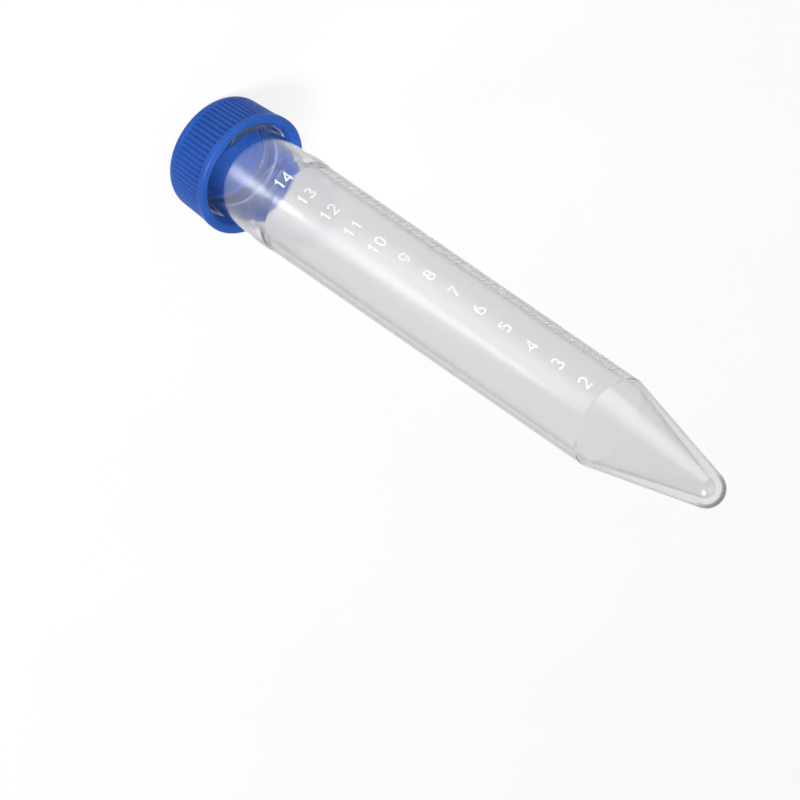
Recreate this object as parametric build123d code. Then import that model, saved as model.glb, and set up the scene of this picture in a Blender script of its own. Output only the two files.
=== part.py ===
"""A 15 ml conical centrifuge tube with its ribbed screw cap, in millimetres.

The tube stands head down on its cap: +Z runs along the axis from the cap's rim, which lies
on z = 0, to the tip. Two mouldings make it: a blue cap and a clear tube screwed into it.
"""
from build123d import *
import math
import os

# --- whole object ---
overall_length = 120.0

# --- tube: neck, collar, body, cone and tip ---
neck_radius = 8.4
neck_length = 17.3
neck_wall = 0.8
mouth_edge_bevel = 0.2
collar_proud_of_neck = 0.25
collar_proud_of_body = 0.2
collar_land = 2.0
collar_runout = 2.5
body_taper = 0.69
cone_length = 23.0
cone_wall = 0.76
tip_radius = 3.0
tip_wall = 1.4
tip_thickness = 1.6

# --- thread on the neck ---
thread_pitch = 3.0
thread_turns = 1.75
thread_height = 0.75
thread_base_width = 1.5
thread_crest_width = 0.6
thread_start_below_mouth = 1.6
thread_root_overlap = 0.15
thread_clearance_in_cap = 0.4

# --- cap: skirt, shoulder and top ---
cap_height = 10.0
skirt_wall_at_band = 1.6
band_height = 1.3
band_edge_bevel = 0.3
band_proud_of_ribs = 0.2
skirt_draft = 0.3
rib_count = 72
rib_depth = 0.3
rib_groove_width = 0.5
rib_end_slope = 0.5
rib_end_land = 0.1
shoulder_height = 1.3
shoulder_width = 1.15
rim_width = 1.2
rim_step_depth = 0.45
rim_step_draft = 0.1
dish_depth = 1.8
gate_mark_radius = 0.45
gate_mark_height = 0.15
top_plate_thickness = 1.1
underside_flat_radius = 2.5

# --- cap: inside ---
lip_bevel = 0.35
seat_depth = 2.0
plug_clearance = 0.05
plug_wall = 0.8
plug_length = 2.2
plug_lead_in = 0.3

# --- heights that follow ---
cone_z = overall_length - cone_length
mouth_z = seat_depth
collar_z = mouth_z + neck_length
band_z = cap_height - band_height

# --- tube radii that follow ---
collar_radius = neck_radius + collar_proud_of_neck
body_radius_at_collar = collar_radius - collar_proud_of_body
body_radius_at_cone = body_radius_at_collar - body_taper
bore_radius_at_mouth = neck_radius - neck_wall
bore_radius_at_cone = body_radius_at_cone - cone_wall
bore_tip_radius = tip_radius - tip_wall

# --- cap radii that follow ---
skirt_bore_radius = neck_radius + thread_height + thread_clearance_in_cap
band_radius = skirt_bore_radius + skirt_wall_at_band
rib_crest_radius_at_band = band_radius - band_proud_of_ribs
rib_crest_radius_at_top = rib_crest_radius_at_band - skirt_draft
rim_outer_radius = rib_crest_radius_at_top - shoulder_width
rim_inner_radius = rim_outer_radius - rim_width


def ball_tangent(radius, height, ball_radius, ball_z):
    """Point where a line from (radius, height) touches a ball centred on the axis."""
    drop = height - ball_z
    reach = math.hypot(radius, drop)
    angle = math.atan2(drop, radius) + math.acos(ball_radius / reach)
    return ball_radius * math.cos(angle), ball_z + ball_radius * math.sin(angle)


def pointed_end(cone_radius, cone_height, ball_radius, end_z):
    """Cone line and rounded end that take an outline from the body's end to the axis."""
    ball_z = end_z - ball_radius
    touch = ball_tangent(cone_radius, cone_height, ball_radius, ball_z)
    middle = (math.atan2(touch[1] - ball_z, touch[0]) + math.pi / 2) / 2
    halfway = (ball_radius * math.cos(middle), ball_z + ball_radius * math.sin(middle))
    Line((cone_radius, cone_height), touch)
    ThreePointArc(touch, halfway, (0, end_z))


def tube_outside():
    """Solid outer form of the tube, from the mouth to the tip."""
    land_end_z = collar_z + collar_land
    collar_step = collar_radius - neck_radius
    with BuildPart() as form:
        with BuildSketch(Plane.XZ):
            with BuildLine():
                Polyline(
                    (0, mouth_z),
                    (neck_radius, mouth_z),
                    (neck_radius, collar_z - collar_step),
                    (collar_radius, collar_z),
                    (collar_radius, land_end_z),
                    (body_radius_at_collar, land_end_z + collar_runout),
                    (body_radius_at_cone, cone_z),
                )
                pointed_end(body_radius_at_cone, cone_z, tip_radius, overall_length)
                Line((0, overall_length), (0, mouth_z))
            make_face()
        revolve(axis=Axis.Z)
    return form.part


def tube_bore():
    """Space inside the tube, running out past the mouth so that it can be cut away."""
    bore_end_z = overall_length - tip_thickness
    with BuildPart() as form:
        with BuildSketch(Plane.XZ):
            with BuildLine():
                Polyline(
                    (0, 0),
                    (bore_radius_at_mouth, 0),
                    (bore_radius_at_mouth, mouth_z),
                    (bore_radius_at_cone, cone_z),
                )
                pointed_end(bore_radius_at_cone, cone_z, bore_tip_radius, bore_end_z)
                Line((0, bore_end_z), (0, 0))
            make_face()
        revolve(axis=Axis.Z)
    return form.part


def neck_thread():
    """Trapezoid ridge that winds round the neck."""
    path = Helix(
        pitch=thread_pitch,
        height=thread_pitch * thread_turns,
        radius=neck_radius,
        center=(0, 0, mouth_z + thread_start_below_mouth),
    )
    start = path @ 0
    half_base = thread_base_width / 2
    half_crest = thread_crest_width / 2
    ridge = Polygon(
        (-thread_root_overlap, -half_base),
        (0, -half_base),
        (thread_height, -half_crest),
        (thread_height, half_crest),
        (0, half_base),
        (-thread_root_overlap, half_base),
        align=None,
    )
    section = Plane(origin=start, x_dir=(1, 0, 0), z_dir=path % 0) * ridge
    return sweep(section, path=path, is_frenet=True)


def make_tube():
    """The clear moulding: threaded neck, collar, body, cone and rounded tip in one wall."""
    shell = tube_outside() - tube_bore()
    mouth_rims = shell.edges().filter_by(GeomType.CIRCLE).group_by(Axis.Z)[0]
    shell = chamfer(mouth_rims, mouth_edge_bevel)
    return shell + neck_thread()


def dish_height(radius):
    """Height of the dished top at a distance from the axis."""
    dish_radius = rim_inner_radius - rim_step_draft
    rise = dish_depth - rim_step_depth
    curve_radius = (dish_radius**2 + rise**2) / (2 * rise)
    return dish_depth - curve_radius + math.sqrt(curve_radius**2 - radius**2)


def cap_turned_form():
    """The cap before its ribs are cut: dished top, rim, shoulder, skirt, band and plug."""
    dish_radius = rim_inner_radius - rim_step_draft
    dish_middle = dish_radius / 2
    underside_z = dish_depth + top_plate_thickness
    plug_radius = bore_radius_at_mouth - plug_clearance
    plug_bore = plug_radius - plug_wall
    plug_end_z = seat_depth + plug_length
    with BuildPart() as form:
        with BuildSketch(Plane.XZ):
            with BuildLine():
                ThreePointArc(
                    (0, dish_depth),
                    (dish_middle, dish_height(dish_middle)),
                    (dish_radius, rim_step_depth),
                )
                Polyline((dish_radius, rim_step_depth), (rim_inner_radius, 0), (rim_outer_radius, 0))
                TangentArc(
                    (rim_outer_radius, 0),
                    (rib_crest_radius_at_top, shoulder_height),
                    tangent=(1, 0),
                )
                Polyline(
                    (rib_crest_radius_at_top, shoulder_height),
                    (rib_crest_radius_at_band, band_z),
                    (band_radius, band_z),
                    (band_radius, cap_height - band_edge_bevel),
                    (band_radius - band_edge_bevel, cap_height),
                    (skirt_bore_radius + lip_bevel, cap_height),
                    (skirt_bore_radius, cap_height - lip_bevel),
                    (skirt_bore_radius, seat_depth),
                    (plug_radius, seat_depth),
                    (plug_radius, plug_end_z - plug_lead_in),
                    (plug_radius - plug_lead_in, plug_end_z),
                    (plug_bore, plug_end_z),
                    (plug_bore, dish_height(plug_bore) + top_plate_thickness),
                    (underside_flat_radius, underside_z),
                    (0, underside_z),
                    (0, dish_depth),
                )
            make_face()
        revolve(axis=Axis.Z)
    return form.part


def rib_crest_radius(height):
    """Radius over the ribs, which widens from the shoulder to the band."""
    share = (height - shoulder_height) / (band_z - shoulder_height)
    return rib_crest_radius_at_top + skirt_draft * share


def rib_groove():
    """Cutter for the groove between two ribs, which runs out short of the shoulder."""
    end_z = shoulder_height + rib_end_land
    full_depth_z = end_z + rib_end_slope
    outside = rib_crest_radius_at_band + rib_depth
    reach_past_crest = outside - rib_crest_radius(end_z)
    side = Polygon(
        (rib_crest_radius_at_band - rib_depth, band_z),
        (outside, band_z),
        (outside, end_z - rib_end_slope * reach_past_crest / rib_depth),
        (rib_crest_radius(full_depth_z) - rib_depth, full_depth_z),
        align=None,
    )
    return extrude(Plane.XZ * side, amount=rib_groove_width / 2, both=True)


def make_cap():
    """The blue moulding: the turned form with its ribs and the gate mark on the dish."""
    grooves = [Rot(0, 0, turn * 360 / rib_count) * rib_groove() for turn in range(rib_count)]
    gate_mark = Pos(0, 0, dish_depth - gate_mark_height) * Cylinder(
        gate_mark_radius,
        gate_mark_height + top_plate_thickness / 2,
        align=(Align.CENTER, Align.CENTER, Align.MIN),
    )
    return cap_turned_form() - grooves + gate_mark


os.makedirs("parts", exist_ok=True)
export_step(make_tube(), "parts/tube.step")
export_step(make_cap(), "parts/cap.step")
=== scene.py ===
import math

import bmesh
import bpy
from mathutils import Matrix, Vector


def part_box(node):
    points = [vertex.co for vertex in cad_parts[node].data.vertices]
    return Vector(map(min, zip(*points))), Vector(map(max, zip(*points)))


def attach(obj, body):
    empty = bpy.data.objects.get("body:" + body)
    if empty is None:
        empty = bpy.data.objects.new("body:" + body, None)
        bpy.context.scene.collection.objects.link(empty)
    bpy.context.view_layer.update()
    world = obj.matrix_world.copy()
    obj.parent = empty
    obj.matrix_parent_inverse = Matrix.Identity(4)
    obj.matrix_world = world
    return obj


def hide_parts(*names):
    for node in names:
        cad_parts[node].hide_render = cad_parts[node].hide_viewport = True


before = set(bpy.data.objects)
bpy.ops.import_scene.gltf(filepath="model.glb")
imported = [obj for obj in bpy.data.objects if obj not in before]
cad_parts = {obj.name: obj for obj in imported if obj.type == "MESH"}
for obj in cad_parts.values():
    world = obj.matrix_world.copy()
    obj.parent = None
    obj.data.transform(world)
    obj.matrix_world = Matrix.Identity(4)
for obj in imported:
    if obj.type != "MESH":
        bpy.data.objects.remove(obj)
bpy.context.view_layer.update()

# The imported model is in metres. Everything named below is in millimetres and degrees.
MM = 0.001
tube_low, tube_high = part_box("tube")
cap_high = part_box("cap")[1]

# --- sizes read from the frame ---
tip_z = tube_high[2] / MM
mouth_z = tube_low[2] / MM
cap_height = cap_high[2] / MM
band_radius = cap_high[0] / MM
thread_crest_radius = tube_high[0] / MM

# --- tube ---
thread_height = 0.75
neck_radius = thread_crest_radius - thread_height
neck_length = 17.3
neck_wall = 0.8
collar_proud_of_neck = 0.25
collar_proud_of_body = 0.2
collar_land = 2.0
collar_runout = 2.5
body_taper = 0.69
cone_length = 23.0
cone_wall = 0.76
tip_radius = 3.0
tip_wall = 1.4
tip_thickness = 1.6
mouth_round = 0.2
collar_round = 0.12
collar_runout_round = 0.48
cone_edge_round = 1.2

# --- thread on the neck, and the one in the cap ---
# The cap's thread is lower than a real one, so that the neck's clears it in a straight lift.
thread_pitch = 3.0
thread_turns = 1.75
thread_base_width = 1.5
thread_crest_width = 0.6
thread_start_below_mouth = 1.6
thread_fade_turns = 0.07
turns_past_thread = 0.5
cap_thread_turns = 1.25
cap_thread_height = 0.35
cap_thread_base_width = 1.3
cap_thread_crest_width = 0.5

# --- cap ---
thread_clearance_in_cap = 0.4
band_height = 1.3
band_edge_bevel = 0.3
band_proud_of_ribs = 0.2
skirt_draft = 0.3
rib_count = 72
rib_depth = 0.3
rib_crest_share = 0.4
rib_floor_share = 0.3
rib_end_slope = 0.5
rib_end_land = 0.1
shoulder_height = 1.3
shoulder_width = 1.15
rim_width = 1.2
rim_step_depth = 0.45
rim_step_draft = 0.1
dish_depth = 1.8
gate_mark_radius = 0.45
gate_mark_height = 0.15
gate_mark_edge = 0.08
top_plate_thickness = 1.1
underside_flat_radius = 2.5
lip_bevel = 0.35
plug_clearance = 0.05
plug_wall = 0.8
plug_length = 2.2
plug_lead_in = 0.3

# --- soft roundings on the cap's edges ---
cap_edge_round = 0.15
plug_edge_round = 0.1
lip_edge_round = 0.08
band_step_round = 0.04
band_edge_round = 0.12
underside_round = 1.0

# --- mesh density ---
longest_support = 0.3
long_spacing = 4.0
neck_thread_spacing = 0.12
cap_thread_spacing = 0.3
rib_end_spacing = 0.13
rib_spacing = 1.6
rib_foot_gap = 0.1
dish_start_radius = 1.2
dish_edge_support = 0.3
cap_thread_foot = 1.2
tube_segments = 192
segments_per_rib = 10
shoulder_steps = 8
dish_steps = 8
cap_round_steps = 3
plug_round_steps = 2

# --- printed volume scale ---
top_number = 14
bottom_number = 2
top_number_z = 23.1
ml_spacing = 5.87
marks_per_ml = 4
number_angle = 251.5
number_height = 2.2
number_width = 1.25
number_pitch = 1.75
number_stroke = 0.36
mark_from_angle = 190.0
ml_mark_to_angle = 214.0
half_mark_to_angle = 208.0
quarter_mark_to_angle = 202.0
mark_stroke = 0.3
mark_steps = 8
smallest_mitre_cosine = 0.5
same_point = 1e-6
ink_gap = 0.01
ink_thickness = 0.02
ink_sharp_angle = 30.0

# --- places that follow ---
cone_z = tip_z - cone_length
collar_z = mouth_z + neck_length
collar_end_z = collar_z + collar_land
body_start_z = collar_end_z + collar_runout
collar_radius = neck_radius + collar_proud_of_neck
body_radius_at_collar = collar_radius - collar_proud_of_body
body_radius_at_cone = body_radius_at_collar - body_taper
bore_radius_at_mouth = neck_radius - neck_wall
bore_radius_at_cone = body_radius_at_cone - cone_wall
bore_tip_radius = tip_radius - tip_wall
bore_end_z = tip_z - tip_thickness
thread_start_z = mouth_z + thread_start_below_mouth
thread_end_z = thread_start_z + thread_pitch * (thread_turns + turns_past_thread)
skirt_bore_radius = thread_crest_radius + thread_clearance_in_cap
band_z = cap_height - band_height
rib_radius_at_band = band_radius - band_proud_of_ribs
rib_radius_at_top = rib_radius_at_band - skirt_draft
rim_outer_radius = rib_radius_at_top - shoulder_width
rim_inner_radius = rim_outer_radius - rim_width
plug_radius = bore_radius_at_mouth - plug_clearance


def smooth_step(share):
    """0 to 1 with a soft start and end, for a share that may run past either end."""
    share = min(max(share, 0.0), 1.0)
    return share * share * (3 - 2 * share)


# ---------------------------------------------------------------- outlines


def rounded(corners, steps=6):
    """Outline through corners of (radius, height, rounding), each corner turned into an arc.

    A support point stands a short way along each straight stretch, which keeps it flat.
    """
    outline = []
    for index, (radius, height, rounding) in enumerate(corners):
        here = Vector((radius, height))
        if rounding == 0 or index in (0, len(corners) - 1):
            outline.append((radius, height))
            continue
        back = Vector(corners[index - 1][:2]) - here
        ahead = Vector(corners[index + 1][:2]) - here
        reach_back = back.length
        reach_ahead = ahead.length
        back.normalize()
        ahead.normalize()
        half = back.angle(ahead) / 2
        cut = rounding / math.tan(half)
        centre = here + (back + ahead).normalized() * (rounding / math.sin(half))
        start = here + back * cut - centre
        sweep = start.angle_signed(here + ahead * cut - centre)
        support = min(rounding, longest_support)
        if reach_back > cut + 2 * support:
            outline.append(tuple(here + back * (cut + support)))
        for step in range(steps + 1):
            turn = Matrix.Rotation(-sweep * step / steps, 2)
            outline.append(tuple(centre + turn @ start))
        if reach_ahead > cut + 2 * support:
            outline.append(tuple(here + ahead * (cut + support)))
    return outline


def filled(outline, longest):
    """The outline with points added, so that no stretch is longer than longest."""
    points = [outline[0]]
    for (r0, z0), (r1, z1) in zip(outline, outline[1:]):
        pieces = max(1, math.ceil(math.hypot(r1 - r0, z1 - z0) / longest))
        for piece in range(1, pieces + 1):
            share = piece / pieces
            points.append((r0 + (r1 - r0) * share, z0 + (z1 - z0) * share))
    return points


def ball_touch(radius, height, ball_radius, ball_z):
    """Angle at which a line from (radius, height) touches a ball centred on the axis."""
    reach = math.hypot(radius, height - ball_z)
    return math.atan2(height - ball_z, radius) + math.acos(ball_radius / reach)


def pointed_end(cone_radius, cone_height, ball_radius, end_z, steps=24):
    """Points of a rounded end, from where the cone's line touches it to the axis."""
    ball_z = end_z - ball_radius
    start = ball_touch(cone_radius, cone_height, ball_radius, ball_z)
    points = []
    for step in range(steps):
        angle = start + (math.pi / 2 - start) * step / steps
        points.append((ball_radius * math.cos(angle), ball_z + ball_radius * math.sin(angle)))
    return points + [(0.0, end_z)]


def dish_height(radius):
    """Height of the dished top at a distance from the axis."""
    dish_radius = rim_inner_radius - rim_step_draft
    rise = dish_depth - rim_step_depth
    curve_radius = (dish_radius**2 + rise**2) / (2 * rise)
    return dish_depth - curve_radius + math.sqrt(curve_radius**2 - radius**2)


def arc_points(height_at, from_radius, to_radius, steps):
    """Points along height_at between two radii, both ends included."""
    radii = [from_radius + (to_radius - from_radius) * step / steps for step in range(steps + 1)]
    return [(radius, height_at(radius)) for radius in radii]


# ------------------------------------------------------------- thread ridges


def ridge(angle, height, start_z, turns, crest_height, base_width, crest_width):
    """How far a helical ridge stands proud at an angle in radians and a height."""
    proud = 0.0
    for whole in range(math.ceil(turns) + 1):
        turn = angle / (2 * math.pi) + whole
        if not 0 <= turn <= turns:
            continue
        away = abs(height - start_z - thread_pitch * turn)
        flank = (base_width - crest_width) / 2
        section = smooth_step((base_width / 2 - away) / flank)
        fade = smooth_step(min(turn, turns - turn) / thread_fade_turns)
        proud = max(proud, crest_height * section * fade)
    return proud


def neck_ridge(angle, height):
    """What the neck's thread adds to the radius."""
    return ridge(
        angle,
        height,
        thread_start_z,
        thread_turns,
        thread_height,
        thread_base_width,
        thread_crest_width,
    )


def cap_ridge(angle, height):
    """What the cap's thread adds to the radius. At rest it winds midway between the neck's turns."""
    return -ridge(
        angle,
        height,
        thread_start_z + thread_pitch / 2,
        cap_thread_turns,
        cap_thread_height,
        cap_thread_base_width,
        cap_thread_crest_width,
    )


def rib_wave(angle, height):
    """Depth of the skirt's outline below the rib crests: rounded crests, rounded grooves."""
    phase = abs((angle * rib_count / (2 * math.pi) + 0.5) % 1.0 - 0.5) * 2
    across = smooth_step((phase - rib_crest_share) / (1 - rib_crest_share - rib_floor_share))
    into = smooth_step((height - shoulder_height - rib_end_land) / rib_end_slope)
    return -rib_depth * across * into


# ------------------------------------------------------------------- meshes


def finish_mesh(name, bm, material, body, stands_for=None, sharp_angle=None):
    """The object for a bmesh in metres: shaded, given its material and set on its body."""
    bmesh.ops.recalc_face_normals(bm, faces=bm.faces)
    for face in bm.faces:
        face.smooth = True
    if sharp_angle is not None:
        for edge in bm.edges:
            edge.smooth = edge.calc_face_angle(0.0) < math.radians(sharp_angle)
    mesh = bpy.data.meshes.new(name)
    bm.to_mesh(mesh)
    bm.free()
    mesh.materials.append(material)
    piece = bpy.data.objects.new(name, mesh)
    bpy.context.scene.collection.objects.link(piece)
    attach(piece, body)
    if stands_for:
        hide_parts(stands_for)
    return piece


def turned(outline, segments):
    """Closed bmesh turned about Z from points of (radius, height, proud), axis to axis.

    proud is None, or a function of angle and height that gives what is added to the radius.
    """
    bm = bmesh.new()
    rings = []
    for radius, height, proud in outline:
        if radius == 0:
            rings.append([bm.verts.new((0, 0, height * MM))])
            continue
        ring = []
        for segment in range(segments):
            angle = 2 * math.pi * segment / segments
            reach = radius + (proud(angle, height) if proud else 0.0)
            place = (reach * math.cos(angle), reach * math.sin(angle), height)
            ring.append(bm.verts.new(Vector(place) * MM))
        rings.append(ring)
    for ring, next_ring in zip(rings, rings[1:]):
        for segment in range(segments):
            following = (segment + 1) % segments
            corners = [
                ring[segment % len(ring)],
                ring[following % len(ring)],
                next_ring[following % len(next_ring)],
                next_ring[segment % len(next_ring)],
            ]
            bm.faces.new(list(dict.fromkeys(corners)))
    return bm


def with_proud(points, proud):
    """The points as turned() takes them, all with the same proud."""
    return [(radius, height, proud) for radius, height in points]


def make_tube(material):
    """The clear moulding: bore, mouth, threaded neck, collar, body, cone and tip."""
    bore = [(0.0, bore_end_z)]
    bore += pointed_end(bore_radius_at_cone, cone_z, bore_tip_radius, bore_end_z)[-2::-1]
    corners = [
        (*bore[-1], 0),
        (bore_radius_at_cone, cone_z, cone_edge_round),
        (bore_radius_at_mouth, mouth_z, mouth_round),
        (neck_radius, mouth_z, mouth_round),
        (neck_radius, thread_end_z, 0),
    ]
    inside = filled(bore[:-1] + rounded(corners)[:-1], long_spacing)
    neck = filled([inside[-1], (neck_radius, thread_end_z)], neck_thread_spacing)
    outer_tip = pointed_end(body_radius_at_cone, cone_z, tip_radius, tip_z)
    corners = [
        (neck_radius, thread_end_z, 0),
        (neck_radius, collar_z - collar_proud_of_neck, collar_round),
        (collar_radius, collar_z, collar_round),
        (collar_radius, collar_end_z, collar_round),
        (body_radius_at_collar, body_start_z, collar_runout_round),
        (body_radius_at_cone, cone_z, cone_edge_round),
        (*outer_tip[0], 0),
    ]
    outside = filled(rounded(corners), long_spacing)
    outline = with_proud(inside[:-1], None)
    outline += with_proud(neck, neck_ridge)
    outline += with_proud(outside[1:], None)
    outline += with_proud(outer_tip[1:], None)
    bm = turned(outline, tube_segments)
    return finish_mesh("clear_tube", bm, material, "tube", "tube")


def make_cap(material):
    """The blue moulding: dished top, ribbed skirt, band, inner thread and plug seal."""
    dish_radius = rim_inner_radius - rim_step_draft
    nub_z = dish_depth - gate_mark_height
    nub_foot = gate_mark_radius + gate_mark_edge
    nub = [
        (0.0, nub_z),
        (gate_mark_radius - gate_mark_edge, nub_z),
        (gate_mark_radius, nub_z + gate_mark_edge),
        (nub_foot, dish_height(nub_foot)),
    ]
    dish = arc_points(dish_height, dish_start_radius, dish_radius - 2 * dish_edge_support, dish_steps)
    dish_edge = dish_radius - dish_edge_support
    corners = [
        (dish_edge, dish_height(dish_edge), 0),
        (dish_radius, rim_step_depth, cap_edge_round),
        (rim_inner_radius, 0, cap_edge_round),
        (rim_outer_radius, 0, 0),
    ]
    top = nub + dish + rounded(corners, cap_round_steps)
    shoulder = []
    for step in range(1, shoulder_steps + 1):
        angle = math.pi / 2 * step / shoulder_steps
        along = rim_outer_radius + shoulder_width * math.sin(angle)
        shoulder.append((along, shoulder_height * (1 - math.cos(angle))))
    rib_end = rib_end_land + rib_end_slope
    share = rib_end / (band_z - shoulder_height)
    full_depth = (rib_radius_at_top + skirt_draft * share, shoulder_height + rib_end)
    side = filled([(rib_radius_at_top, shoulder_height), full_depth], rib_end_spacing)
    side += filled([full_depth, (rib_radius_at_band, band_z - rib_foot_gap)], rib_spacing)[1:]
    corners = [
        (rib_radius_at_band, band_z - rib_foot_gap / 2, 0),
        (rib_radius_at_band, band_z, band_step_round),
        (band_radius, band_z, band_edge_round),
        (band_radius, cap_height - band_edge_bevel, cap_edge_round),
        (band_radius - band_edge_bevel, cap_height, cap_edge_round),
        (skirt_bore_radius + lip_bevel, cap_height, lip_edge_round),
        (skirt_bore_radius, cap_height - lip_bevel, lip_edge_round),
        (skirt_bore_radius, band_z, 0),
    ]
    lip = rounded(corners, cap_round_steps)
    plug_end_z = mouth_z + plug_length
    plug_bore = plug_radius - plug_wall
    thread_foot_z = mouth_z + cap_thread_foot
    underside_z = dish_depth + top_plate_thickness
    bore = [(skirt_bore_radius, band_z), (skirt_bore_radius, thread_foot_z)]
    bore = filled(bore, cap_thread_spacing)
    corners = [
        (skirt_bore_radius, thread_foot_z, 0),
        (skirt_bore_radius, mouth_z, cap_edge_round),
        (plug_radius, mouth_z, cap_edge_round),
        (plug_radius, plug_end_z - plug_lead_in, plug_edge_round),
        (plug_radius - plug_lead_in, plug_end_z, plug_edge_round),
        (plug_bore, plug_end_z, plug_edge_round),
        (plug_bore, dish_height(plug_bore) + top_plate_thickness, cap_edge_round),
        (underside_flat_radius, underside_z, underside_round),
        (0.0, underside_z, 0),
    ]
    inside = rounded(corners, plug_round_steps)
    outline = with_proud(top, None)
    outline += with_proud(shoulder[:-1] + side, rib_wave)
    outline += with_proud(lip, None)
    outline += with_proud(bore[1:], cap_ridge)
    outline += with_proud(inside[1:], None)
    bm = turned(outline, rib_count * segments_per_rib)
    return finish_mesh("ribbed_cap", bm, material, "cap", "cap")


# -------------------------------------------------------------------- print


def tube_radius(height):
    """Outer radius of the tube's body and cone at a height."""
    if height < collar_end_z:
        return collar_radius
    if height < body_start_z:
        share = (height - collar_end_z) / collar_runout
        return collar_radius - collar_proud_of_body * share
    if height < cone_z:
        share = (height - body_start_z) / (cone_z - body_start_z)
        return body_radius_at_collar - body_taper * share
    outer_tip = pointed_end(body_radius_at_cone, cone_z, tip_radius, tip_z)
    share = (height - cone_z) / (outer_tip[0][1] - cone_z)
    return body_radius_at_cone + (outer_tip[0][0] - body_radius_at_cone) * share


def on_tube(angle, height, lift):
    """Point in metres above the tube's outer surface, for an angle in degrees."""
    reach = tube_radius(height) + lift
    turn = math.radians(angle)
    return Vector((reach * math.cos(turn), reach * math.sin(turn), height)) * MM


def add_stroke(bm, path, width, place):
    """Closed thin ribbon along a path of (across, up) in millimetres.

    place gives the point in metres for an across, an up and a lift.
    """
    points = [Vector(point) for point in path]
    closed = (points[0] - points[-1]).length < same_point
    if closed:
        points.pop()
    count = len(points)
    rows = []
    for index, point in enumerate(points):
        before = points[index - 1] if closed or index else None
        after = points[(index + 1) % count] if closed or index < count - 1 else None
        into = (point - before).normalized() if before is not None else None
        out = (after - point).normalized() if after is not None else None
        into = into or out
        out = out or into
        along = (into + out).normalized()
        side = Vector((-along.y, along.x))
        half = width / 2 / max(side.dot(Vector((-into.y, into.x))), smallest_mitre_cosine)
        row = []
        for offset, lift in ((1, 0), (-1, 0), (-1, 1), (1, 1)):
            spot = point + side * half * offset
            row.append(bm.verts.new(place(spot.x, spot.y, ink_gap + ink_thickness * lift)))
        rows.append(row)
    pairs = list(zip(rows, rows[1:] + rows[:1])) if closed else list(zip(rows, rows[1:]))
    for row, next_row in pairs:
        for corner in range(4):
            following = (corner + 1) % 4
            bm.faces.new((row[corner], row[following], next_row[following], next_row[corner]))
    if not closed:
        bm.faces.new(rows[0])
        bm.faces.new(rows[-1][::-1])


def bow(centre_x, centre_y, half_width, half_height, start, end, steps=14):
    """Points on part of an ellipse, in shares of a numeral's width and height."""
    points = []
    for step in range(steps + 1):
        angle = math.radians(start + (end - start) * step / steps)
        x = centre_x + half_width * math.cos(angle)
        points.append((x, centre_y + half_height * math.sin(angle)))
    return points


# Each numeral is strokes in a box one wide and one high, drawn as the eye reads it.
NUMERALS = {
    0: [bow(0.5, 0.5, 0.42, 0.5, 90, 450, 24)],
    1: [[(0.25, 0.78), (0.55, 1.0), (0.55, 0.0)]],
    2: [bow(0.5, 0.72, 0.4, 0.28, 165, -35) + [(0.05, 0.0), (0.95, 0.0)]],
    3: [bow(0.46, 0.75, 0.38, 0.25, 150, -90), bow(0.46, 0.26, 0.45, 0.26, 90, -150)],
    4: [[(0.72, 0.0), (0.72, 1.0), (0.03, 0.3), (0.98, 0.3)]],
    5: [[(0.88, 1.0), (0.18, 1.0), (0.1, 0.55)] + bow(0.46, 0.33, 0.44, 0.33, 128, -145)],
    6: [bow(0.5, 0.31, 0.43, 0.31, 90, 450, 20), bow(0.78, 0.36, 0.71, 0.64, 180, 97, 8)],
    7: [[(0.05, 1.0), (0.93, 1.0), (0.35, 0.0)]],
    8: [bow(0.5, 0.75, 0.36, 0.25, 90, 450, 20), bow(0.5, 0.27, 0.43, 0.27, 90, 450, 20)],
    9: [bow(0.5, 0.69, 0.43, 0.31, 90, 450, 20), bow(0.22, 0.64, 0.71, 0.64, 0, -83, 8)],
}


def number_z(number):
    """Height of a numeral's middle and of its mark. The numbers fall towards the tip."""
    return top_number_z + (top_number - number) * ml_spacing


def make_numbers(material):
    """The scale's whole millilitres, which read upright with the cap at the top."""
    bm = bmesh.new()
    for number in range(bottom_number, top_number + 1):
        digits = [int(digit) for digit in str(number)]
        middle_z = number_z(number)
        for place_index, digit in enumerate(digits):
            from_last = len(digits) - 1 - place_index

            def place(across, up, lift):
                shift = across - number_width / 2 - from_last * number_pitch
                height = middle_z - (up - number_height / 2)
                angle = number_angle - math.degrees(shift / tube_radius(height))
                return on_tube(angle, height, lift)

            for stroke in NUMERALS[digit]:
                path = [(x * number_width, y * number_height) for x, y in stroke]
                add_stroke(bm, path, number_stroke, place)
    return finish_mesh("scale_numbers", bm, material, "tube", sharp_angle=ink_sharp_angle)


def make_marks(material):
    """The scale's lines: long at each millilitre, middling at halves, short at quarters."""
    bm = bmesh.new()
    count = (top_number - bottom_number) * marks_per_ml
    for index in range(count + 1):
        height = number_z(top_number - index / marks_per_ml)
        to_angle = quarter_mark_to_angle
        if index % marks_per_ml == 0:
            to_angle = ml_mark_to_angle
        elif index % (marks_per_ml // 2) == 0:
            to_angle = half_mark_to_angle
        path = []
        for step in range(mark_steps + 1):
            path.append((mark_from_angle + (to_angle - mark_from_angle) * step / mark_steps, 0))

        def place(across, up, lift):
            return on_tube(across, height + up, lift)

        add_stroke(bm, path, mark_stroke, place)
    return finish_mesh("scale_marks", bm, material, "tube", sharp_angle=ink_sharp_angle)


# ---------------------------------------------------------------- materials


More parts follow.
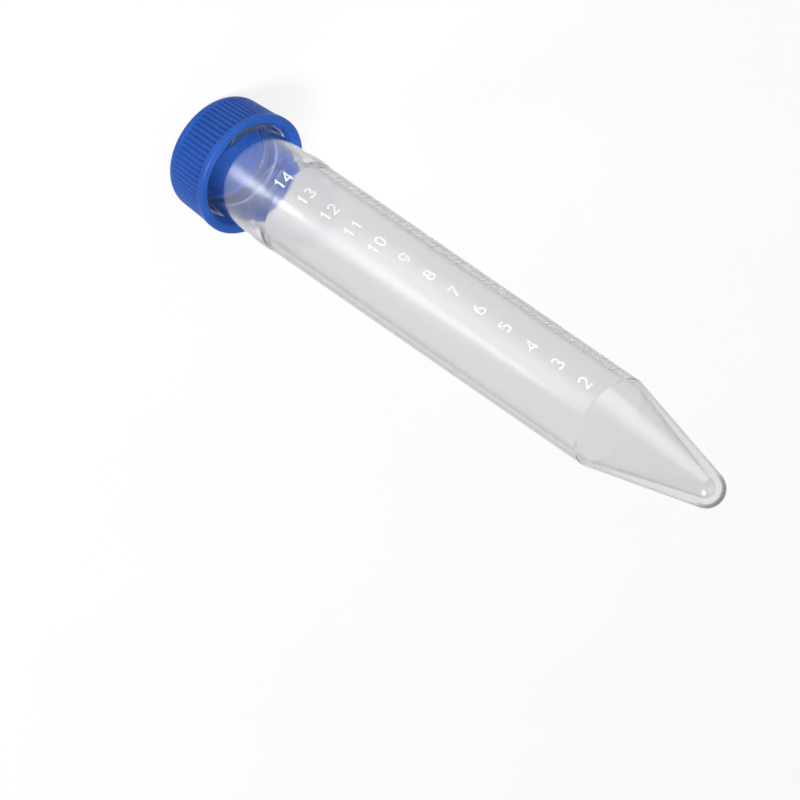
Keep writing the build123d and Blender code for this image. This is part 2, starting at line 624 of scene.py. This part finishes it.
class Nodes:
    """A material's node tree, with short calls to add and join nodes."""

    def __init__(self, name):
        self.material = bpy.data.materials.new(name)
        self.material.use_nodes = True
        self.tree = self.material.node_tree
        self.tree.nodes.clear()

    def add(self, kind, **values):
        node = self.tree.nodes.new(kind)
        for key, value in values.items():
            setattr(node, key, value)
        return node

    def join(self, source, target):
        self.tree.links.new(source, target)

    def noise(self, scale, detail, stretch=(1, 1, 1)):
        """Noise in the object's own space. scale is in waves per metre."""
        place = self.add("ShaderNodeTexCoord")
        mapping = self.add("ShaderNodeMapping")
        mapping.inputs["Scale"].default_value = stretch
        self.join(place.outputs["Object"], mapping.inputs["Vector"])
        noise = self.add("ShaderNodeTexNoise")
        noise.inputs["Scale"].default_value = scale
        noise.inputs["Detail"].default_value = detail
        self.join(mapping.outputs["Vector"], noise.inputs["Vector"])
        return noise.outputs["Fac"]

    def ramp(self, factor, stops):
        """Colours or greys by factor. stops are (position, colour)."""
        ramp = self.add("ShaderNodeValToRGB")
        elements = ramp.color_ramp.elements
        while len(elements) < len(stops):
            elements.new(0.5)
        for element, (position, colour) in zip(elements, stops):
            element.position = position
            element.color = (*colour, 1)
        self.join(factor, ramp.inputs["Fac"])
        return ramp.outputs["Color"]

    def bump(self, height, depth, strength):
        """Bumps that reach depth millimetres, at a strength from 0 to 1."""
        bump = self.add("ShaderNodeBump")
        bump.inputs["Distance"].default_value = depth * MM
        bump.inputs["Strength"].default_value = strength
        self.join(height, bump.inputs["Height"])
        return bump.outputs["Normal"]

    def shade(self, shader, volume=None):
        output = self.add("ShaderNodeOutputMaterial")
        self.join(shader, output.inputs["Surface"])
        if volume is not None:
            self.join(volume, output.inputs["Volume"])
        return self.material


def grey(level):
    return (level, level, level)


def clear_plastic():
    """Clear polystyrene: faint grey tint, faint haze, slow waves of moulding flow, and painted shade
    that darkens its colour where it is seen at a slant.
    """
    nodes = Nodes("clear_plastic")
    shader = nodes.add("ShaderNodeBsdfPrincipled")
    shader.inputs["IOR"].default_value = 1.59
    shader.inputs["Transmission Weight"].default_value = 1.0
    shader.inputs["Specular IOR Level"].default_value = 0.35
    flow = nodes.noise(70.0, detail=0.0, stretch=(1, 1, 0.15))
    tint = nodes.ramp(flow, [(0.3, (0.845, 0.837, 0.846)), (0.7, (0.875, 0.867, 0.876))])
    # Painted shade: the colour darkens where rays meet the surface at a slant, which darkens the
    # tube's edges.
    slant = nodes.add("ShaderNodeLayerWeight")
    slant.inputs["Blend"].default_value = 0.5
    painted_shade_stops = [(0.25, 1.0), (0.5, 0.97), (0.63, 0.86), (0.69, 0.48), (0.85, 0.34)]
    stops = [(facing, grey(level)) for facing, level in painted_shade_stops]
    painted_edge_shade = nodes.ramp(slant.outputs["Facing"], stops)
    both = nodes.add("ShaderNodeMix", data_type="RGBA", blend_type="MULTIPLY")
    both.inputs["Factor"].default_value = 1.0
    nodes.join(tint, both.inputs["A"])
    nodes.join(painted_edge_shade, both.inputs["B"])
    nodes.join(both.outputs["Result"], shader.inputs["Base Color"])
    haze = nodes.noise(420.0, 3.0)
    nodes.join(nodes.ramp(haze, [(0.3, grey(0.07)), (0.7, grey(0.1))]), shader.inputs["Roughness"])
    nodes.join(nodes.bump(flow, 0.02, 0.3), shader.inputs["Normal"])
    lamps_pass = nodes.add("ShaderNodeBsdfTransparent")
    lamps_pass.inputs["Color"].default_value = (0.93, 0.93, 0.94, 1)
    path = nodes.add("ShaderNodeLightPath")
    mix = nodes.add("ShaderNodeMixShader")
    nodes.join(path.outputs["Is Shadow Ray"], mix.inputs["Fac"])
    nodes.join(shader.outputs["BSDF"], mix.inputs[1])
    nodes.join(lamps_pass.outputs["BSDF"], mix.inputs[2])
    depth = nodes.add("ShaderNodeVolumeAbsorption")
    depth.inputs["Color"].default_value = (0.25, 0.24, 0.27, 1)
    depth.inputs["Density"].default_value = 30.0
    return nodes.shade(mix.outputs["Shader"], depth.outputs["Volume"])


def cap_plastic():
    """Blue polyethylene with a satin gloss and a very fine moulded grain."""
    nodes = Nodes("cap_plastic")
    shader = nodes.add("ShaderNodeBsdfPrincipled")
    shader.inputs["IOR"].default_value = 1.52
    shader.inputs["Specular IOR Level"].default_value = 0.06
    clouds = nodes.noise(160.0, 3.0)
    blue = nodes.ramp(clouds, [(0.3, (0.014, 0.059, 0.258)), (0.7, (0.018, 0.071, 0.296))])
    nodes.join(blue, shader.inputs["Base Color"])
    grain = nodes.noise(2600.0, 4.0)
    gloss = nodes.ramp(grain, [(0.35, grey(0.28)), (0.65, grey(0.36))])
    nodes.join(gloss, shader.inputs["Roughness"])
    nodes.join(nodes.bump(grain, 0.01, 0.4), shader.inputs["Normal"])
    return nodes.shade(shader.outputs["BSDF"])


def white_ink():
    """White printing ink, slightly uneven."""
    nodes = Nodes("white_ink")
    shader = nodes.add("ShaderNodeBsdfPrincipled")
    shader.inputs["IOR"].default_value = 1.45
    grain = nodes.noise(1500.0, 3.0)
    white = nodes.ramp(grain, [(0.3, grey(0.80)), (0.7, grey(0.86))])
    nodes.join(white, shader.inputs["Base Color"])
    nodes.join(nodes.ramp(grain, [(0.3, grey(0.4)), (0.7, grey(0.55))]), shader.inputs["Roughness"])
    nodes.join(nodes.bump(grain, 0.005, 0.5), shader.inputs["Normal"])
    shader.inputs["Alpha"].default_value = 0.82
    return nodes.shade(shader.outputs["BSDF"])


def any_seen_ray(tree):
    """1 for rays that see the studio: from the camera, mirrored or through glass."""
    path = tree.nodes.new("ShaderNodeLightPath")
    either = path.outputs["Is Camera Ray"]
    for name in ("Is Glossy Ray", "Is Transmission Ray"):
        larger = tree.nodes.new("ShaderNodeMath")
        larger.operation = "MAXIMUM"
        tree.links.new(either, larger.inputs[0])
        tree.links.new(path.outputs[name], larger.inputs[1])
        either = larger.outputs[0]
    return either


def floor_material():
    """White floor that shows as white and still takes a soft shadow."""
    nodes = Nodes("floor_white")
    grain = nodes.noise(30.0, 2.0)
    matt = nodes.add("ShaderNodeBsdfDiffuse")
    nodes.join(nodes.ramp(grain, [(0.3, grey(0.80)), (0.7, grey(0.84))]), matt.inputs["Color"])
    glow = nodes.add("ShaderNodeEmission")
    share = nodes.add("ShaderNodeMath", operation="MULTIPLY")
    share.inputs[1].default_value = floor_glow_share
    nodes.join(any_seen_ray(nodes.tree), share.inputs[0])
    mix = nodes.add("ShaderNodeMixShader")
    nodes.join(share.outputs[0], mix.inputs["Fac"])
    nodes.join(matt.outputs["BSDF"], mix.inputs[1])
    nodes.join(glow.outputs["Emission"], mix.inputs[2])
    return nodes.shade(mix.outputs["Shader"])


# -------------------------------------------------------------------- studio

floor_half_size = 3000.0
floor_glow_share = 0.85
world_light = 0.38
lamp_distance = 700.0
lamp_aim_z = 60.0
most_bounces = 32

# A fade of half a lamp's size reaches its middle.
fade_to_middle = 0.5
strip_end_fade = 0.1

view_elevation = 35.57
view_roll = 126.08
view_distance = 446.9
aim_across = 16.1
aim_height_share = 0.521
nearest_seen = 10.0
lens_mm = 126.3
sensor_mm = 36.0


def make_floor():
    """Flat floor that the cap's rim stands on."""
    bm = bmesh.new()
    corners = [(-1, -1), (1, -1), (1, 1), (-1, 1)]
    reach = floor_half_size * MM
    bm.faces.new([bm.verts.new((x * reach, y * reach, 0)) for x, y in corners])
    mesh = bpy.data.meshes.new("floor")
    bm.to_mesh(mesh)
    bm.free()
    mesh.materials.append(floor_material())
    floor = bpy.data.objects.new("floor", mesh)
    bpy.context.scene.collection.objects.link(floor)


def make_world():
    """White where it is seen, and a plain soft light on the object."""
    world = bpy.data.worlds.new("studio")
    world.use_nodes = True
    bpy.context.scene.world = world
    tree = world.node_tree
    background = tree.nodes["Background"]
    background.inputs["Color"].default_value = (1, 1, 1, 1)
    strength = tree.nodes.new("ShaderNodeMapRange")
    strength.inputs["To Min"].default_value = world_light
    strength.inputs["To Max"].default_value = 1.0
    tree.links.new(any_seen_ray(tree), strength.inputs["Value"])
    tree.links.new(strength.outputs["Result"], background.inputs["Strength"])


def area_lamp(name, width, height):
    """Rectangular lamp, width by height, linked into the scene and hidden from the camera."""
    lamp = bpy.data.lights.new(name, "AREA")
    lamp.shape = "RECTANGLE"
    lamp.size = width * MM
    lamp.size_y = height * MM
    piece = bpy.data.objects.new(name, lamp)
    bpy.context.scene.collection.objects.link(piece)
    piece.visible_camera = False
    piece.visible_transmission = False
    return piece


def make_lamp(name, azimuth, elevation, size, power):
    """Soft square lamp that looks at the object's axis. Azimuth 270 is the camera's side."""
    piece = area_lamp(name, size, size)
    piece.data.energy = power
    turn = math.radians(azimuth)
    rise = math.radians(elevation)
    away = Vector((math.cos(turn) * math.cos(rise), math.sin(turn) * math.cos(rise), math.sin(rise)))
    piece.location = (away * lamp_distance + Vector((0, 0, lamp_aim_z))) * MM
    piece.rotation_euler = away.to_track_quat("Z", "Y").to_euler()
    return piece


def soft_edges(lamp, fade_along, fade_across):
    """Gives an area lamp a glow that falls off smoothly over a share of its size at each edge."""
    lamp.use_nodes = True
    tree = lamp.node_tree
    glow = tree.nodes["Emission"]
    place = tree.nodes.new("ShaderNodeNewGeometry")
    split = tree.nodes.new("ShaderNodeSeparateXYZ")
    tree.links.new(place.outputs["Parametric"], split.inputs["Vector"])
    both = tree.nodes.new("ShaderNodeMath")
    both.operation = "MULTIPLY"
    for index, (axis, fade) in enumerate((("X", fade_along), ("Y", fade_across))):
        from_middle = tree.nodes.new("ShaderNodeMath")
        from_middle.operation = "SUBTRACT"
        from_middle.inputs[1].default_value = 0.5
        tree.links.new(split.outputs[axis], from_middle.inputs[0])
        away = tree.nodes.new("ShaderNodeMath")
        away.operation = "ABSOLUTE"
        tree.links.new(from_middle.outputs[0], away.inputs[0])
        fall = tree.nodes.new("ShaderNodeMapRange")
        fall.interpolation_type = "SMOOTHSTEP"
        fall.inputs["From Min"].default_value = 0.5
        fall.inputs["From Max"].default_value = 0.5 - fade
        tree.links.new(away.outputs[0], fall.inputs["Value"])
        tree.links.new(fall.outputs["Result"], both.inputs[index])
    tree.links.new(both.outputs[0], glow.inputs["Strength"])


def gloss_lamp(name, width, height, radiance, fades):
    """Lamp that lights nothing but the clear tube, and is seen in it only as a reflection."""
    piece = area_lamp(name, width, height)
    lamp = piece.data
    lamp.energy = radiance * math.pi * lamp.size * lamp.size_y
    soft_edges(lamp, *fades)
    piece.visible_diffuse = False
    piece.light_linking.receiver_collection = gloss_receivers
    return piece


def make_panel(name, azimuth, near, far, width, radiance, lift, fade_along):
    """Lamp that lies on the floor beside the tube, from near to far, and shows as a streak.

    Panels that cross have different lifts, so that none lies hidden in another.
    """
    piece = gloss_lamp(name, far - near, width, radiance, (fade_along, fade_to_middle))
    turn = math.radians(azimuth)
    middle = (near + far) / 2
    piece.location = Vector((math.cos(turn) * middle, math.sin(turn) * middle, lift)) * MM
    piece.rotation_euler = (math.pi, 0, turn)


def make_side_strip(name, azimuth, distance, width, height, radiance):
    """Upright lamp that stands on the floor and shows as a gloss on the cone."""
    piece = gloss_lamp(name, width, height, radiance, (fade_to_middle, strip_end_fade))
    turn = math.radians(azimuth)
    away = Vector((math.cos(turn), math.sin(turn), 0))
    piece.location = (away * distance + Vector((0, 0, height / 2))) * MM
    piece.rotation_euler = away.to_track_quat("Z", "Y").to_euler()


def make_camera():
    """Camera that looks down along +Y, turned about its own axis to lay the tube as in the photo."""
    rise = math.radians(view_elevation)
    roll = math.radians(view_roll)
    ahead = Vector((0, math.cos(rise), -math.sin(rise)))
    level_right = Vector((1, 0, 0))
    level_up = Vector((0, math.sin(rise), math.cos(rise)))
    right = level_right * math.cos(roll) + level_up * math.sin(roll)
    up = level_up * math.cos(roll) - level_right * math.sin(roll)
    aim = Vector((aim_across, 0, tip_z * aim_height_share))
    place = (aim - ahead * view_distance) * MM
    data = bpy.data.cameras.new("camera")
    data.lens = lens_mm
    data.sensor_width = sensor_mm
    data.clip_start = nearest_seen * MM
    camera = bpy.data.objects.new("camera", data)
    bpy.context.scene.collection.objects.link(camera)
    matrix = Matrix((right, up, -ahead)).transposed().to_4x4()
    matrix.translation = place
    camera.matrix_world = matrix
    bpy.context.scene.camera = camera


clear = clear_plastic()
ink = white_ink()
gloss_receivers = bpy.data.collections.new("gloss_receivers")
gloss_receivers.objects.link(make_tube(clear))
cap_receivers = bpy.data.collections.new("cap_receivers")
cap_receivers.objects.link(make_cap(cap_plastic()))
make_numbers(ink)
make_marks(ink)
make_floor()
make_world()
make_camera()
make_lamp("key", azimuth=308, elevation=35, size=160, power=6.4)
make_lamp("fill", azimuth=250, elevation=60, size=400, power=0.6)
make_panel("streak_a", 288, near=0, far=170, width=60, radiance=2.6, lift=1.0, fade_along=0.25)
make_panel("streak_neck", 286, near=12, far=52, width=16, radiance=6.8, lift=2.0, fade_along=0.4)
make_panel("streak_b", 268, near=40, far=190, width=200, radiance=2.3, lift=1.5, fade_along=0.25)
make_side_strip("streak_cone", 230, distance=500, width=900, height=120, radiance=2.9)

# This lamp brightens the cap's left side and nothing else.
cap_lamp = make_lamp("cap_side", azimuth=212, elevation=22, size=60, power=3.2)
cap_lamp.visible_glossy = False
cap_lamp.light_linking.receiver_collection = cap_receivers

# Light crosses many walls of clear plastic, so it gets more bounces than usual.
cycles = bpy.context.scene.cycles
cycles.max_bounces = most_bounces
cycles.glossy_bounces = most_bounces
cycles.transmission_bounces = most_bounces

bpy.context.scene.view_settings.view_transform = "Standard"
